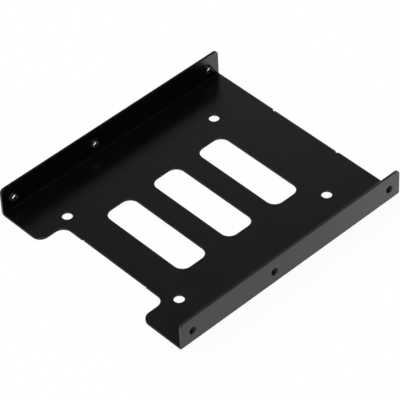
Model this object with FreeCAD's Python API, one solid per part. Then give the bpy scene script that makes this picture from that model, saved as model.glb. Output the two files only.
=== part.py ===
import FreeCAD, Part
import math
import os

from FreeCAD import Vector

# Bracket that carries one 2.5-inch drive in a 3.5-inch drive bay. It is one piece of steel
# sheet: a base plate with a flange turned up along each long side. Sizes in millimetres.
# X runs across the bracket, Y along it and Z up. The origin lies under the middle of the base.

# The sheet and its two folds
sheet_thickness = 1.0
bracket_width = 99.6
flange_height = 12.9
inner_bend_radius = 0.4
flange_corner_radius = 2.0

# Tapped holes for the bay's screws, the same three in both flanges
bay_hole_spacing = 101.6
bay_hole_middle_offset = 41.1
bay_hole_height = 6.35
bay_hole_end_margin = 5.6
tapped_bore_diameter = 3.1
collar_length = 0.9
collar_wall = 0.4
collar_root_flare = 0.3
mouth_radius = 0.4

# Clearance holes for the drive's screws, in the base
drive_hole_spacing_x = 61.72
drive_hole_spacing_y = 76.6
drive_hole_diameter = 4.4
drive_hole_end_margin = 16.4

# Cut-out for the drive's connectors, in the end that faces -Y
cutout_width = 56.0
cutout_depth = 12.0
cutout_corner_radius = 4.0
tab_corner_radius = 4.0

# Cooling slots across the base
slot_count = 3
slot_length = 43.6
slot_width = 13.9
slot_bridge_width = 10.0
slot_corner_radius = 4.1
slot_field_offset = 0.9

# Where the flat blank hung in its carrier strip and was sheared off, at both ends
strip_tie_width = 34.4
strip_tie_setback = 0.2
cutout_notch_radius = 0.4
end_notch_radius = 0.7

# How far a trimming or cutting solid reaches past the sheet
overshoot = 2.0

# Two points closer than this are one
same_point = 0.000001

# Places and sizes that follow from the values above
bracket_length = bay_hole_spacing + 2 * bay_hole_end_margin
half_length = bracket_length / 2
half_width = bracket_width / 2
outer_bend_radius = inner_bend_radius + sheet_thickness
flange_inner_x = half_width - sheet_thickness
trim_x = half_width + overshoot
cutout_edge_y = cutout_depth - half_length
half_cutout = cutout_width / 2
half_tie = strip_tie_width / 2
bore_radius = tapped_bore_diameter / 2
collar_radius = bore_radius + collar_wall
collar_root_z = collar_radius + collar_root_flare
collar_end_x = flange_inner_x - collar_length
mouth_z = bore_radius + mouth_radius
first_bay_hole_y = bay_hole_end_margin - half_length
bay_hole_ys = (
    first_bay_hole_y,
    first_bay_hole_y + bay_hole_middle_offset,
    first_bay_hole_y + bay_hole_spacing,
)


def rounded_face(corners):
    """Face bounded by straight lines and tangent arcs. Each corner is a point and a radius."""
    edges = []
    starts = []
    ends = []
    for index, (corner, radius) in enumerate(corners):
        backward = (corners[index - 1][0] - corner).normalize()
        forward = (corners[(index + 1) % len(corners)][0] - corner).normalize()
        half_angle = backward.getAngle(forward) / 2
        reach = radius / math.tan(half_angle)
        starts.append(corner + backward * reach)
        ends.append(corner + forward * reach)
        if radius > 0:
            inward = (backward + forward).normalize()
            middle = corner + inward * (radius / math.sin(half_angle) - radius)
            edges.append(Part.Arc(starts[-1], middle, ends[-1]).toShape())
    for index, end in enumerate(ends):
        start = starts[(index + 1) % len(starts)]
        if not end.isEqual(start, same_point):
            edges.append(Part.makeLine(end, start))
    return Part.Face(Part.Wire(Part.__sortEdges__(edges)))


def turned(outline):
    """Solid turned from a face in the XZ plane about the X axis."""
    return outline.revolve(Vector(0, 0, 0), Vector(1, 0, 0), 360)


# Section across the bracket: the base, two bends of even thickness and the two flanges
section = rounded_face(
    [
        (Vector(-half_width, -half_length, flange_height), 0),
        (Vector(-half_width, -half_length, 0), outer_bend_radius),
        (Vector(half_width, -half_length, 0), outer_bend_radius),
        (Vector(half_width, -half_length, flange_height), 0),
        (Vector(flange_inner_x, -half_length, flange_height), 0),
        (Vector(flange_inner_x, -half_length, sheet_thickness), inner_bend_radius),
        (Vector(-flange_inner_x, -half_length, sheet_thickness), inner_bend_radius),
        (Vector(-flange_inner_x, -half_length, flange_height), 0),
    ]
)
sheet = section.extrude(Vector(0, bracket_length, 0))

# Side view: the free corners of both flanges are rounded
side_view = rounded_face(
    [
        (Vector(-trim_x, -half_length, -overshoot), 0),
        (Vector(-trim_x, half_length, -overshoot), 0),
        (Vector(-trim_x, half_length, flange_height), flange_corner_radius),
        (Vector(-trim_x, -half_length, flange_height), flange_corner_radius),
    ]
)
sheet = sheet.common(side_view.extrude(Vector(2 * trim_x, 0, 0)))

# Plan view: the connector cut-out between its two round-cornered tabs, and the shallow
# step that the carrier strip left in the middle of each end
tie_y = half_length - strip_tie_setback
cutout_tie_y = cutout_edge_y + strip_tie_setback
plan_view = rounded_face(
    [
        (Vector(-trim_x, half_length, -overshoot), 0),
        (Vector(-half_tie, half_length, -overshoot), 0),
        (Vector(-half_tie, tie_y, -overshoot), 0),
        (Vector(half_tie, tie_y, -overshoot), 0),
        (Vector(half_tie, half_length, -overshoot), 0),
        (Vector(trim_x, half_length, -overshoot), 0),
        (Vector(trim_x, -half_length, -overshoot), 0),
        (Vector(half_cutout, -half_length, -overshoot), tab_corner_radius),
        (Vector(half_cutout, cutout_edge_y, -overshoot), cutout_corner_radius),
        (Vector(half_tie, cutout_edge_y, -overshoot), 0),
        (Vector(half_tie, cutout_tie_y, -overshoot), 0),
        (Vector(-half_tie, cutout_tie_y, -overshoot), 0),
        (Vector(-half_tie, cutout_edge_y, -overshoot), 0),
        (Vector(-half_cutout, cutout_edge_y, -overshoot), cutout_corner_radius),
        (Vector(-half_cutout, -half_length, -overshoot), tab_corner_radius),
        (Vector(-trim_x, -half_length, -overshoot), 0),
    ]
)
sheet = sheet.common(plan_view.extrude(Vector(0, 0, flange_height + 2 * overshoot)))

# Everything that is punched through the base
punch_height = sheet_thickness + 2 * overshoot
punches = []

# Cooling slots, in a row along the bracket
half_slot = slot_length / 2
slot_pitch = slot_width + slot_bridge_width
first_slot_y = slot_field_offset - (slot_count - 1) * slot_pitch / 2
for index in range(slot_count):
    near_y = first_slot_y + index * slot_pitch - slot_width / 2
    far_y = near_y + slot_width
    slot = rounded_face(
        [
            (Vector(-half_slot, near_y, -overshoot), slot_corner_radius),
            (Vector(half_slot, near_y, -overshoot), slot_corner_radius),
            (Vector(half_slot, far_y, -overshoot), slot_corner_radius),
            (Vector(-half_slot, far_y, -overshoot), slot_corner_radius),
        ]
    )
    punches.append(slot.extrude(Vector(0, 0, punch_height)))

# Four clearance holes on the drive's own screw pattern
first_drive_hole_y = drive_hole_end_margin - half_length
for x in (-drive_hole_spacing_x / 2, drive_hole_spacing_x / 2):
    for y in (first_drive_hole_y, first_drive_hole_y + drive_hole_spacing_y):
        foot = Vector(x, y, -overshoot)
        punches.append(Part.makeCylinder(drive_hole_diameter / 2, punch_height, foot))

# Half-round notches that end each sheared step, smaller at the cut-out
for x in (-half_tie, half_tie):
    for y, radius in ((cutout_edge_y, cutout_notch_radius), (half_length, end_notch_radius)):
        foot = Vector(x, y, -overshoot)
        punches.append(Part.makeCylinder(radius, punch_height, foot))

sheet = sheet.cut(punches)

# Collar that the piercing punch pushes out of each flange's inner face. It flares into the
# sheet at its root, and starts inside the sheet so that the two are one.
collar = turned(
    rounded_face(
        [
            (Vector(half_width - sheet_thickness / 2, 0, 0), 0),
            (Vector(half_width - sheet_thickness / 2, 0, collar_root_z), 0),
            (Vector(flange_inner_x, 0, collar_root_z), 0),
            (Vector(flange_inner_x - collar_root_flare, 0, collar_radius), 0),
            (Vector(collar_end_x, 0, collar_radius), 0),
            (Vector(collar_end_x, 0, 0), 0),
        ]
    )
)

# Bore for the thread, with the mouth that the punch rolls in from the outer face
bore = turned(
    rounded_face(
        [
            (Vector(trim_x, 0, 0), 0),
            (Vector(trim_x, 0, mouth_z), 0),
            (Vector(half_width, 0, mouth_z), 0),
            (Vector(half_width, 0, bore_radius), mouth_radius),
            (Vector(collar_end_x - overshoot, 0, bore_radius), 0),
            (Vector(collar_end_x - overshoot, 0, 0), 0),
        ]
    )
)

# The same three holes in both flanges, one flange's being the mirror image of the other's
collars = []
bores = []
for y in bay_hole_ys:
    place = Vector(0, y, bay_hole_height)
    collars.append(collar.translated(place))
    bores.append(bore.translated(place))
middle_plane = (Vector(0, 0, 0), Vector(1, 0, 0))
collars += [shape.mirror(*middle_plane) for shape in collars]
bores += [shape.mirror(*middle_plane) for shape in bores]
sheet = sheet.fuse(collars).cut(bores).removeSplitter()

os.makedirs("parts", exist_ok=True)
sheet.exportStep("parts/adapter_bracket.step")
print("adapter_bracket", round(sheet.Volume, 1), "mm3, solids", len(sheet.Solids), "valid", sheet.isValid())
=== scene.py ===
import bpy
import math
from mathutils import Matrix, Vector


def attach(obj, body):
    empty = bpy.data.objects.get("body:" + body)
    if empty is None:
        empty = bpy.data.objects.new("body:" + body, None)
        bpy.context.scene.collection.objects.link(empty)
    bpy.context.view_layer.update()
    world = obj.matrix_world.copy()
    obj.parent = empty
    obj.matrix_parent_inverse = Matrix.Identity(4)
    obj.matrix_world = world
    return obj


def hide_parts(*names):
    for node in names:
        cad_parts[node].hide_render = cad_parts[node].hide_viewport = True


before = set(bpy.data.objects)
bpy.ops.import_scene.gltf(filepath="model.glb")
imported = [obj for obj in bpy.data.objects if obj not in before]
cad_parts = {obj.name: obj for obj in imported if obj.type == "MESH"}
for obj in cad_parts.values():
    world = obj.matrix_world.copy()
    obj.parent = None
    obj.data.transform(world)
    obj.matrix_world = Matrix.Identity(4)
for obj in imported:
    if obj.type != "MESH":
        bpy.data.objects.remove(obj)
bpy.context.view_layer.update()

# ---------------------------------------------------------------------------
# The folded sheet. One blank of 1 mm mild steel is punched flat, and then a
# flange is folded up along each long side over a small radius. The outside of
# the folds is drawn first, and Solidify grows the sheet's thickness inwards.
# ---------------------------------------------------------------------------
sheet_thickness = 0.0010
half_width = 0.0498
half_length = 0.0564
flange_top = 0.0129
flange_top_fall = 0.00008
fold_outer_radius = 0.0014
flange_corner_radius = 0.0020
corner_steps = 16

# What counts as along an axis, as square to it, and as the same measure
along_axis = 0.9
across_axis = 0.1
same_measure = 0.0001


def nothing():
    """Object mode, with nothing selected."""
    if bpy.context.mode != "OBJECT":
        bpy.ops.object.mode_set(mode="OBJECT")
    bpy.ops.object.select_all(action="DESELECT")


def only(piece):
    """Object mode, with nothing but this piece selected and active."""
    nothing()
    piece.select_set(True)
    bpy.context.view_layer.objects.active = piece


def edit_edges(piece, wanted):
    """Edit mode, with the edges selected whose middle and direction are wanted."""
    only(piece)
    bpy.ops.object.mode_set(mode="EDIT")
    bpy.ops.mesh.select_mode(type="EDGE")
    bpy.ops.mesh.select_all(action="DESELECT")
    bpy.ops.object.mode_set(mode="OBJECT")
    points = piece.data.vertices
    for edge in piece.data.edges:
        start, end = (points[i].co for i in edge.vertices)
        edge.select = bool(wanted((start + end) / 2, (end - start).normalized()))
    bpy.ops.object.mode_set(mode="EDIT")


def same(measure, wanted):
    """Whether a measure is the wanted one."""
    return abs(measure - wanted) < same_measure


def round_off(radius, steps):
    """The selected edges are rounded to this radius."""
    bpy.ops.mesh.bevel(
        offset=radius, segments=steps, profile=0.5, affect="EDGES", clamp_overlap=False
    )


def face_outwards():
    """The faces of the piece in edit mode are all turned outwards."""
    bpy.ops.mesh.select_all(action="SELECT")
    bpy.ops.mesh.normals_make_consistent(inside=False)


def cut_away(piece, cutter):
    """The cutter's space is taken out of the piece, and the cutter is gone."""
    only(piece)
    cut = piece.modifiers.new("cut", "BOOLEAN")
    cut.operation = "DIFFERENCE"
    cut.solver = "EXACT"
    cut.object = cutter
    bpy.ops.object.modifier_apply(modifier=cut.name)
    bpy.data.objects.remove(cutter)


# The base is a plane of side 2 set to the bracket's half sizes
nothing()
bpy.ops.mesh.primitive_plane_add(size=2)
bracket = bpy.context.object
bracket.name = "folded_bracket"
bracket.scale = (half_width, half_length, 1)
bpy.ops.object.transform_apply(scale=True)

# Both long edges go up to make the flanges, and both folds are rounded
edit_edges(bracket, lambda middle, along: abs(along.y) > along_axis)
bpy.ops.mesh.extrude_edges_move(TRANSFORM_OT_translate={"value": (0, 0, flange_top)})
edit_edges(bracket, lambda middle, along: abs(along.y) > along_axis and same(middle.z, 0))
round_off(fold_outer_radius, corner_steps)
face_outwards()
only(bracket)
thickness = bracket.modifiers.new("thickness", "SOLIDIFY")
thickness.thickness = sheet_thickness
thickness.offset = 1 if bracket.data.polygons[0].normal.z > 0 else -1
thickness.use_even_offset = True
bpy.ops.object.modifier_apply(modifier=thickness.name)

# The shear leaves the flanges' top faces a little off square: they fall towards the inside
edit_edges(
    bracket,
    lambda middle, along: abs(along.y) > along_axis
    and same(middle.z, flange_top)
    and same(abs(middle.x), half_width - sheet_thickness),
)
bpy.ops.transform.translate(value=(0, 0, -flange_top_fall))

# The flanges' four free corners are rounded
edit_edges(
    bracket, lambda middle, along: abs(along.x) > along_axis and same(middle.z, flange_top)
)
round_off(flange_corner_radius, corner_steps)

# ---------------------------------------------------------------------------
# The blank's outline. The connector cut-out leaves two round-cornered tabs,
# and in the middle of both ends a shallow step with two half-round notches
# shows where the blank hung in its carrier strip and was sheared off.
# ---------------------------------------------------------------------------
half_cutout = 0.0280
cutout_edge = -0.0444
cutout_corner_radius = 0.0040
tab_corner_radius = 0.0040
half_tie = 0.0172
tie_setback = 0.0002
cutout_notch_radius = 0.0004
end_notch_radius = 0.0007
notch_sides = 32

# The punches reach from under the base to above it, and past its ends
punch_foot = -0.0020
punch_head = 0.0040
past_end = 0.0600
round_punch_height = 0.0060


def square_punch(half_across, start_y, end_y):
    """A box-shaped cutter on the bracket's middle line, from one Y to another."""
    nothing()
    low = Vector((-half_across, start_y, punch_foot))
    high = Vector((half_across, end_y, punch_head))
    bpy.ops.mesh.primitive_cube_add(size=1, location=(low + high) / 2)
    punch = bpy.context.object
    punch.scale = high - low
    bpy.ops.object.transform_apply(location=True, scale=True)
    return punch


def round_punch(x, y, radius, sides):
    """A round cutter through the base at this place."""
    nothing()
    bpy.ops.mesh.primitive_cylinder_add(
        vertices=sides, radius=radius, depth=round_punch_height, location=(x, y, 0)
    )
    bpy.ops.object.transform_apply(location=True)
    return bpy.context.object


cutout = square_punch(half_cutout, -past_end, cutout_edge)
edit_edges(
    cutout, lambda middle, along: abs(along.z) > along_axis and same(middle.y, cutout_edge)
)
round_off(cutout_corner_radius, corner_steps)
cut_away(bracket, cutout)
edit_edges(
    bracket,
    lambda middle, along: abs(along.z) > along_axis
    and same(abs(middle.x), half_cutout)
    and same(middle.y, -half_length),
)
round_off(tab_corner_radius, corner_steps)

cut_away(bracket, square_punch(half_tie, -past_end, cutout_edge + tie_setback))
cut_away(bracket, square_punch(half_tie, half_length - tie_setback, past_end))
for x in (-half_tie, half_tie):
    cut_away(bracket, round_punch(x, cutout_edge, cutout_notch_radius, notch_sides))
    cut_away(bracket, round_punch(x, half_length, end_notch_radius, notch_sides))

# ---------------------------------------------------------------------------
# The openings in the base: three cooling slots with round corners, and four
# clearance holes on the drive's own screw pattern, all punched through. The
# holes are punched 4.4 mm wide, and the paint leaves 4.26 of that.
# ---------------------------------------------------------------------------
half_slot = 0.0218
slot_width = 0.0139
slot_corner_radius = 0.0041
slot_middles = (-0.0230, 0.0009, 0.0248)
drive_hole_radius = 0.00213
drive_hole_x = 0.03086
drive_hole_ys = (-0.0400, 0.0366)
hole_sides = 64

for middle_y in slot_middles:
    slot = square_punch(half_slot, middle_y - slot_width / 2, middle_y + slot_width / 2)
    edit_edges(slot, lambda middle, along: abs(along.z) > along_axis)
    round_off(slot_corner_radius, corner_steps)
    cut_away(bracket, slot)
for x in (-drive_hole_x, drive_hole_x):
    for y in drive_hole_ys:
        cut_away(bracket, round_punch(x, y, drive_hole_radius, hole_sides))

# ---------------------------------------------------------------------------
# The tapped bay holes. A piercing punch rolls the sheet in at the mouth and
# pushes it out behind as a collar, which gives a thin sheet enough depth for
# a number 6 thread. One hole is turned and tapped here, and set in six places.
# ---------------------------------------------------------------------------
bay_hole_ys = (-0.0508, -0.0097, 0.0508)
bay_hole_z = 0.00635
mouth_radius = 0.0006
mouth_steps = 8
collar_radius = 0.00195
collar_length = 0.0009
collar_root_radius = 0.0003
collar_root_steps = 6
collar_rim_radius = 0.0001
collar_rim_steps = 3

# The bore is the width between the thread's crests. The CAD's plain bore is wider: its wall
# lies between the crests and the roots.
bore_radius = 0.0014
thread_pitch = 0.000794
thread_radius = 0.00175

# Each hole comes with a round patch of its flange
patch_radius = 0.0032
patch_rim = 0.95 * patch_radius
ring_width = 0.00001


def ring(depth, radius):
    """A choice of the edges that run round the hole at this depth and radius."""
    return lambda middle, along: (
        abs(middle.z + depth) < ring_width
        and abs(along.z) < across_axis
        and abs(middle.xy.length - radius) < ring_width
    )


def edit_faces(piece, wanted):
    """Edit mode, with the faces selected whose middle and normal are wanted."""
    only(piece)
    bpy.ops.object.mode_set(mode="EDIT")
    bpy.ops.mesh.select_mode(type="FACE")
    bpy.ops.mesh.select_all(action="DESELECT")
    bpy.ops.object.mode_set(mode="OBJECT")
    for face in piece.data.polygons:
        face.select = bool(wanted(face.center, face.normal))
    bpy.ops.object.mode_set(mode="EDIT")


# The patch's edge is drawn in to the bore, down it, out round the collar's rim, up the collar
# and out again along the sheet's inner face. A wall round the patch closes it for tapping.
nothing()
bpy.ops.mesh.primitive_circle_add(vertices=hole_sides, radius=patch_radius)
hole = bpy.context.object
bpy.ops.object.mode_set(mode="EDIT")
bpy.ops.mesh.select_all(action="SELECT")
for widening, rise in (
    (bore_radius / patch_radius, 0),
    (1, -sheet_thickness - collar_length),
    (collar_radius / bore_radius, 0),
    (1, collar_length),
    (patch_radius / collar_radius, 0),
):
    bpy.ops.mesh.extrude_edges_move(TRANSFORM_OT_translate={"value": (0, 0, rise)})
    bpy.ops.transform.resize(value=(widening, widening, 1))
edit_edges(
    hole, lambda middle, along: middle.xy.length > patch_rim and abs(along.z) < across_axis
)
bpy.ops.mesh.bridge_edge_loops()
face_outwards()

# The mouth, the collar's root and the two edges of its rim are rounded
edit_edges(hole, ring(0, bore_radius))
round_off(mouth_radius, mouth_steps)
edit_edges(hole, ring(sheet_thickness, collar_radius))
round_off(collar_root_radius, collar_root_steps)
for radius in (bore_radius, collar_radius):
    edit_edges(hole, ring(sheet_thickness + collar_length, radius))
    round_off(collar_rim_radius, collar_rim_steps)

# The tap: a ridge with 60 degree flanks that winds up past both ends of the hole. Its
# section is drawn once, upwards from one root to the next, and the Screw turns it. The
# roots lie inside the bore, where they cut nothing.
root_clearance = 0.00012
tap_core_radius = bore_radius - root_clearance
tap_start = -0.0034
tap_foot = -0.0024
tap_head = 0.0006
tap_turns = 6
tap_steps = 48
same_point = 0.000001
flank_slope = math.tan(math.radians(30))
crest_flat = thread_pitch / 8
flank_rise = (thread_radius - tap_core_radius) * flank_slope
root_flat = thread_pitch - crest_flat - 2 * flank_rise

# A plane merged into one point starts the section
nothing()
bpy.ops.mesh.primitive_plane_add(size=0.001)
tap = bpy.context.object
bpy.ops.object.mode_set(mode="EDIT")
bpy.ops.mesh.select_mode(type="VERT")
bpy.ops.mesh.select_all(action="SELECT")
bpy.ops.mesh.merge(type="CENTER")
bpy.ops.transform.translate(value=(tap_core_radius, 0, tap_start))
for outwards, upwards in (
    (0, root_flat),
    (thread_radius - tap_core_radius, flank_rise),
    (0, crest_flat),
    (tap_core_radius - thread_radius, flank_rise),
):
    bpy.ops.mesh.extrude_vertices_move(TRANSFORM_OT_translate={"value": (outwards, 0, upwards)})
only(tap)
winding = tap.modifiers.new("winding", "SCREW")
winding.axis = "Z"
winding.screw_offset = thread_pitch
winding.iterations = tap_turns
winding.steps = tap_steps
winding.render_steps = tap_steps
bpy.ops.object.modifier_apply(modifier=winding.name)
edit_edges(tap, lambda middle, along: True)
bpy.ops.mesh.remove_doubles(threshold=same_point)
for end, outwards in ((tap_foot, -1), (tap_head, 1)):
    edit_edges(tap, lambda middle, along: True)
    bpy.ops.mesh.bisect(
        plane_co=(0, 0, end), plane_no=(0, 0, outwards), use_fill=True, clear_outer=True
    )
face_outwards()
cut_away(hole, tap)

# The cut leaves the thread's faces turned into the metal, so the whole hole is turned
# outwards. Faces of more than four corners are split here, because the export's own split
# would lay a few of them onto the slivers beside them.
quad_corners = 4
edit_edges(hole, lambda middle, along: True)
face_outwards()
bpy.ops.mesh.select_mode(type="FACE")
bpy.ops.mesh.select_face_by_sides(number=quad_corners, type="GREATER", extend=False)
bpy.ops.mesh.quads_convert_to_tris()

# The wall round the patch goes again, and leaves the hole ready to be set in
edit_faces(
    hole, lambda middle, normal: abs(normal.z) < across_axis and middle.xy.length > patch_rim
)
bpy.ops.mesh.delete(type="FACE")

# The sheared edges come out of the press slightly broken, and the paint rounds them more
sheared_edge_radius = 0.00013
sheared_edge_steps = 3
sharp_from = math.radians(40)
edit_edges(bracket, lambda middle, along: False)
bpy.ops.mesh.edges_select_sharp(sharpness=sharp_from)
round_off(sheared_edge_radius, sheared_edge_steps)

# The flanges get six round windows at one stroke, and a copy of the turned hole is set into
# each, edge to edge. The rims' facets in the windows go, and what meets is merged.
window_overcut = 0.000004
window_reach = 1.05 * patch_radius
facing_axis = 0.99
seam_width = 0.000003
quarter_turn = math.pi / 2
places = [Vector((side * half_width, y, bay_hole_z)) for side in (-1, 1) for y in bay_hole_ys]
windows = []
holes = []
for place in places:
    nothing()
    bpy.ops.mesh.primitive_cylinder_add(
        vertices=hole_sides,
        radius=patch_radius,
        depth=sheet_thickness + window_overcut,
        location=place - Vector((math.copysign(sheet_thickness / 2, place.x), 0, 0)),
        rotation=(0, quarter_turn, 0),
    )
    bpy.ops.object.transform_apply(location=True, rotation=True)
    windows.append(bpy.context.object)
    only(hole)
    bpy.ops.object.duplicate()
    fitted = bpy.context.object
    fitted.location = place
    fitted.rotation_euler = (0, math.copysign(quarter_turn, place.x), 0)
    bpy.ops.object.transform_apply(location=True, rotation=True)
    holes.append(fitted)
bpy.data.objects.remove(hole)
only(windows[0])
for window in windows:
    window.select_set(True)
bpy.ops.object.join()
cut_away(bracket, windows[0])
edit_faces(
    bracket,
    lambda middle, normal: abs(normal.x) < across_axis
    and any((middle - place).length < window_reach for place in places),
)
bpy.ops.mesh.delete(type="FACE")
edit_faces(bracket, lambda middle, normal: abs(normal.x) > facing_axis)
bpy.ops.mesh.quads_convert_to_tris()
only(bracket)
for fitted in holes:
    fitted.select_set(True)
bpy.ops.object.join()
edit_edges(bracket, lambda middle, along: True)
bpy.ops.mesh.remove_doubles(threshold=seam_width)

# Folds and rounded edges shade smooth, and the flat faces stay flat
smooth_up_to = math.radians(38)
only(bracket)
bpy.ops.object.shade_smooth_by_angle(angle=smooth_up_to)
smooth = bracket.modifiers.new("smooth", "WEIGHTED_NORMAL")
smooth.keep_sharp = True
bpy.ops.object.modifier_apply(modifier=smooth.name)
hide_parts("adapter_bracket")
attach(bracket, "root")

# ---------------------------------------------------------------------------
# The finish. Satin black powder coat is baked on all over, after the folding and
# the tapping. It flows out almost level, with a faint peel, and the threads are
# as black as the rest.
# ---------------------------------------------------------------------------
darkest_black = (0.0020, 0.0020, 0.0021, 1)
lightest_black = (0.0028, 0.0028, 0.0029, 1)
smoothest = 0.235
roughest = 0.265
paint_ior = 1.5

# Cells a metre: patches of 14 mm, peel of about 1 mm, and grain a sixth of that
patch_scale = 70
peel_scale = 900
grain_scale = 5200
grain_share = 0.22
relief_depth = 0.00002
relief_strength = 0.06

# The noise's levels between which colour and gloss change
noise_low = 0.30
noise_high = 0.70


def add_node(tree, kind, sockets={}, **settings):
    """A shader node, whose sockets are given values or are linked to other nodes' outputs."""
    node = tree.nodes.new("ShaderNode" + kind)
    for name, value in settings.items():
        setattr(node, name, value)
    for name, value in sockets.items():
        if isinstance(value, bpy.types.NodeSocket):
            tree.links.new(value, node.inputs[name])
        else:
            node.inputs[name].default_value = value
    return node


paint = bpy.data.materials.new("satin_black_paint")
paint.use_nodes = True
tree = paint.node_tree
on_paint = add_node(tree, "TexCoord").outputs["Object"]
patches = add_node(tree, "TexNoise", {"Vector": on_paint, "Scale": patch_scale, "Detail": 4})
peel = add_node(tree, "TexNoise", {"Vector": on_paint, "Scale": peel_scale, "Detail": 2})
grain = add_node(tree, "TexNoise", {"Vector": on_paint, "Scale": grain_scale, "Detail": 2})
surface = add_node(
    tree,
    "Math",
    {0: grain.outputs["Fac"], 1: grain_share, 2: peel.outputs["Fac"]},
    operation="MULTIPLY_ADD",
)
relief = add_node(
    tree,
    "Bump",
    {
        "Height": surface.outputs["Value"],
        "Strength": relief_strength,
        "Distance": relief_depth,
    },
)
shade = add_node(tree, "ValToRGB", {"Fac": patches.outputs["Fac"]})
dark_stop, light_stop = shade.color_ramp.elements
dark_stop.position = noise_low
dark_stop.color = darkest_black
light_stop.position = noise_high
light_stop.color = lightest_black
gloss = add_node(
    tree,
    "MapRange",
    {
        "Value": patches.outputs["Fac"],
        "From Min": noise_low,
        "From Max": noise_high,
        "To Min": smoothest,
        "To Max": roughest,
    },
)
shader = tree.nodes["Principled BSDF"]
shader.inputs["IOR"].default_value = paint_ior
tree.links.new(shade.outputs["Color"], shader.inputs["Base Color"])
tree.links.new(gloss.outputs["Result"], shader.inputs["Roughness"])
tree.links.new(relief.outputs["Normal"], shader.inputs["Normal"])

for piece in (bracket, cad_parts["adapter_bracket"]):
    piece.data.materials.clear()
    piece.data.materials.append(paint)

# ---------------------------------------------------------------------------
# The table that the bracket stands on: a white sweep, evenly lit, with painted light and shade
# where the paint mirrors it. It lies a hair under the sheet, and from below it isn't there, so
# that the underside can be seen.
# ---------------------------------------------------------------------------
table_size = 8
table_drop = 0.00005
table_white = (0.8, 0.8, 0.8, 1)
table_roughness = 0.9

# Its level in the paint's reflection, in the middle and at a place further back, which paints
# a pool of light towards the back. Then the reach and contrast of the painted contact shade, a
# dark line where it meets the sheet
middle_level = 0.955
far_level = 1.28
far_y = 0.085
contact_shade_reach = 0.0012
contact_shade_contrast = 4

# The shadow that is seen on it
shadow_level = 0.92
shadow_reach = 0.03

nothing()
bpy.ops.mesh.primitive_plane_add(size=table_size, location=(0, 0, -table_drop))
floor = bpy.context.object
floor.name = "white_floor"
white = bpy.data.materials.new("white_sweep")
white.use_nodes = True
tree = white.node_tree
matt = tree.nodes["Principled BSDF"]
matt.inputs["Base Color"].default_value = table_white
matt.inputs["Roughness"].default_value = table_roughness
path = add_node(tree, "LightPath")

# In the paint's reflection the table grows brighter towards the back, a painted pool of
# light, and is dark where it meets the sheet, a painted contact shade
on_table = add_node(tree, "TexCoord").outputs["Object"]
axes = add_node(tree, "SeparateXYZ", {"Vector": on_table})
# Painted pool of light: the table's glow in reflection rises from the middle towards the back
painted_pool_of_light = add_node(
    tree,
    "MapRange",
    {
        "Value": axes.outputs["Y"],
        "From Min": 0,
        "From Max": far_y,
        "To Min": middle_level,
        "To Max": far_level,
    },
    interpolation_type="SMOOTHSTEP",
)
# Painted contact shade: ambient occlusion darkens the table's glow where it meets the sheet
contact_shade = add_node(tree, "AmbientOcclusion", {"Distance": contact_shade_reach}, samples=8)
painted_contact_shade = add_node(
    tree, "Math", {0: contact_shade.outputs["AO"], 1: contact_shade_contrast}, operation="POWER"
)
painted_light_and_shade = add_node(
    tree,
    "Math",
    {0: painted_pool_of_light.outputs["Result"], 1: painted_contact_shade.outputs["Value"]},
    operation="MULTIPLY",
)
mirrored = add_node(tree, "Emission", {"Strength": painted_light_and_shade.outputs["Value"]})
glossy = add_node(
    tree,
    "MixShader",
    {
        "Fac": path.outputs["Is Glossy Ray"],
        1: matt.outputs["BSDF"],
        2: mirrored.outputs["Emission"],
    },
)

# Seen straight, it is white, with a faint shadow where the bracket stands on it
shelter = add_node(tree, "AmbientOcclusion", {"Distance": shadow_reach}, samples=16)
shadow = add_node(
    tree, "MapRange", {"Value": shelter.outputs["AO"], "To Min": shadow_level, "To Max": 1}
)
seen = add_node(tree, "Emission", {"Strength": shadow.outputs["Result"]})
straight = add_node(
    tree,
    "Math",
    {0: path.outputs["Is Camera Ray"], 1: path.outputs["Is Transmission Ray"]},
    operation="MAXIMUM",
)
shown = add_node(
    tree,
    "MixShader",
    {
        "Fac": straight.outputs["Value"],
        1: glossy.outputs["Shader"],
        2: seen.outputs["Emission"],
    },
)

# Rays from below go through, and so do those that leave the underside itself
underside_reach = 6 * table_drop
touching = add_node(
    tree, "Math", {0: path.outputs["Ray Length"], 1: underside_reach}, operation="LESS_THAN"
)
passing = add_node(
    tree,
    "Math",
    {0: add_node(tree, "NewGeometry").outputs["Backfacing"], 1: touching.outputs["Value"]},
    operation="MAXIMUM",
)
sided = add_node(
    tree,
    "MixShader",
    {
        "Fac": passing.outputs["Value"],
        1: shown.outputs["Shader"],
        2: add_node(tree, "BsdfTransparent").outputs["BSDF"],
    },
)
tree.links.new(sided.outputs["Shader"], tree.nodes["Material Output"].inputs["Surface"])
floor.data.materials.append(white)

# ---------------------------------------------------------------------------
# The studio. A white wall stands on the left, from behind the bracket round to
# its front, and its light fades out about 45 degrees up. The rest of the room is
# dim. One softbox hangs overhead, and one high on the right.
# ---------------------------------------------------------------------------
room_level = 0.045
softbox_size = 0.6
overhead_place = (0, 0, 1.2)
overhead_energy = 1.5
right_place = Vector((0.54, -0.30, 1.02))
right_energy = 7

# The wall's levels, each after its height, which is 0 at the horizon and 1 straight up. Then
# the way that leads away from the wall, and where along it the light is full and where gone.
wall_levels = ((0.57, 0.69), (0.67, 0.150), (0.714, 0.02), (0.76, 0))
wall_away = (1, 0.4, 0)
wall_full = -0.25
wall_gone = 0.15

world = bpy.data.worlds.new("studio")
bpy.context.scene.world = world
world.use_nodes = True
tree = world.node_tree

# The wall's light by height
aim = add_node(tree, "TexCoord").outputs["Generated"]
heights = add_node(tree, "SeparateXYZ", {"Vector": aim})
fade = add_node(tree, "ValToRGB", {"Fac": heights.outputs["Z"]})
stops = fade.color_ramp.elements
while len(stops) < len(wall_levels):
    stops.new(1)
for stop, (height, level) in zip(stops, wall_levels):
    stop.position = height
    stop.color = (level, level, level, 1)

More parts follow.
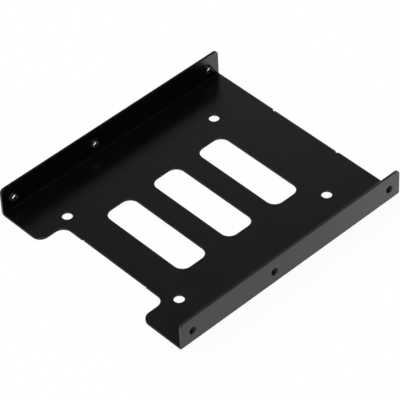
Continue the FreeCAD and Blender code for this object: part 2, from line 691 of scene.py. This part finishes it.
# The wall's light by side, and the dim light that the rest of the room gives
away = add_node(tree, "VectorMath", {0: aim, 1: wall_away}, operation="DOT_PRODUCT")
side = add_node(
    tree,
    "MapRange",
    {
        "Value": away.outputs["Value"],
        "From Min": wall_gone,
        "From Max": wall_full,
    },
    interpolation_type="SMOOTHSTEP",
)
glow = add_node(
    tree,
    "Math",
    {0: fade.outputs["Color"], 1: side.outputs["Result"], 2: room_level},
    operation="MULTIPLY_ADD",
)
grey = add_node(
    tree, "CombineColor", {channel: glow.outputs["Value"] for channel in ("Red", "Green", "Blue")}
)
room = tree.nodes["Background"]
tree.links.new(grey.outputs["Color"], room.inputs["Color"])

# Seen straight, the room is plain white
sight = add_node(tree, "LightPath")
direct = add_node(
    tree,
    "Math",
    {0: sight.outputs["Is Camera Ray"], 1: sight.outputs["Is Transmission Ray"]},
    operation="MAXIMUM",
)
plain = add_node(tree, "Background", {"Color": (1, 1, 1, 1)})
choice = add_node(
    tree,
    "MixShader",
    {
        "Fac": direct.outputs["Value"],
        1: room.outputs["Background"],
        2: plain.outputs["Background"],
    },
)
tree.links.new(choice.outputs["Shader"], tree.nodes["World Output"].inputs["Surface"])

# Both softboxes look at the bracket
right_turn = right_place.to_track_quat("Z", "Y").to_euler()
for name, place, turn, energy in (
    ("overhead_softbox", overhead_place, (0, 0, 0), overhead_energy),
    ("high_softbox", right_place, right_turn, right_energy),
):
    bpy.ops.object.light_add(type="AREA", location=place, rotation=turn)
    softbox = bpy.context.object
    softbox.name = name
    softbox.data.size = softbox_size
    softbox.data.energy = energy

# ---------------------------------------------------------------------------
# The camera, at the photograph's place and with its lens, as fitted on the
# drive's screw pattern
# ---------------------------------------------------------------------------
camera_place = (0.51916824, -0.45831569, 0.66993974)
camera_turn = (0.80307376, 0.03704491, 0.81203513)
bpy.ops.object.camera_add(location=camera_place, rotation=camera_turn)
camera = bpy.context.object
camera.data.sensor_width = 36
camera.data.lens = 229.15332
camera.data.clip_start = 0.05
camera.data.clip_end = 20
bpy.context.scene.camera = camera
bpy.context.scene.view_settings.view_transform = "Standard"
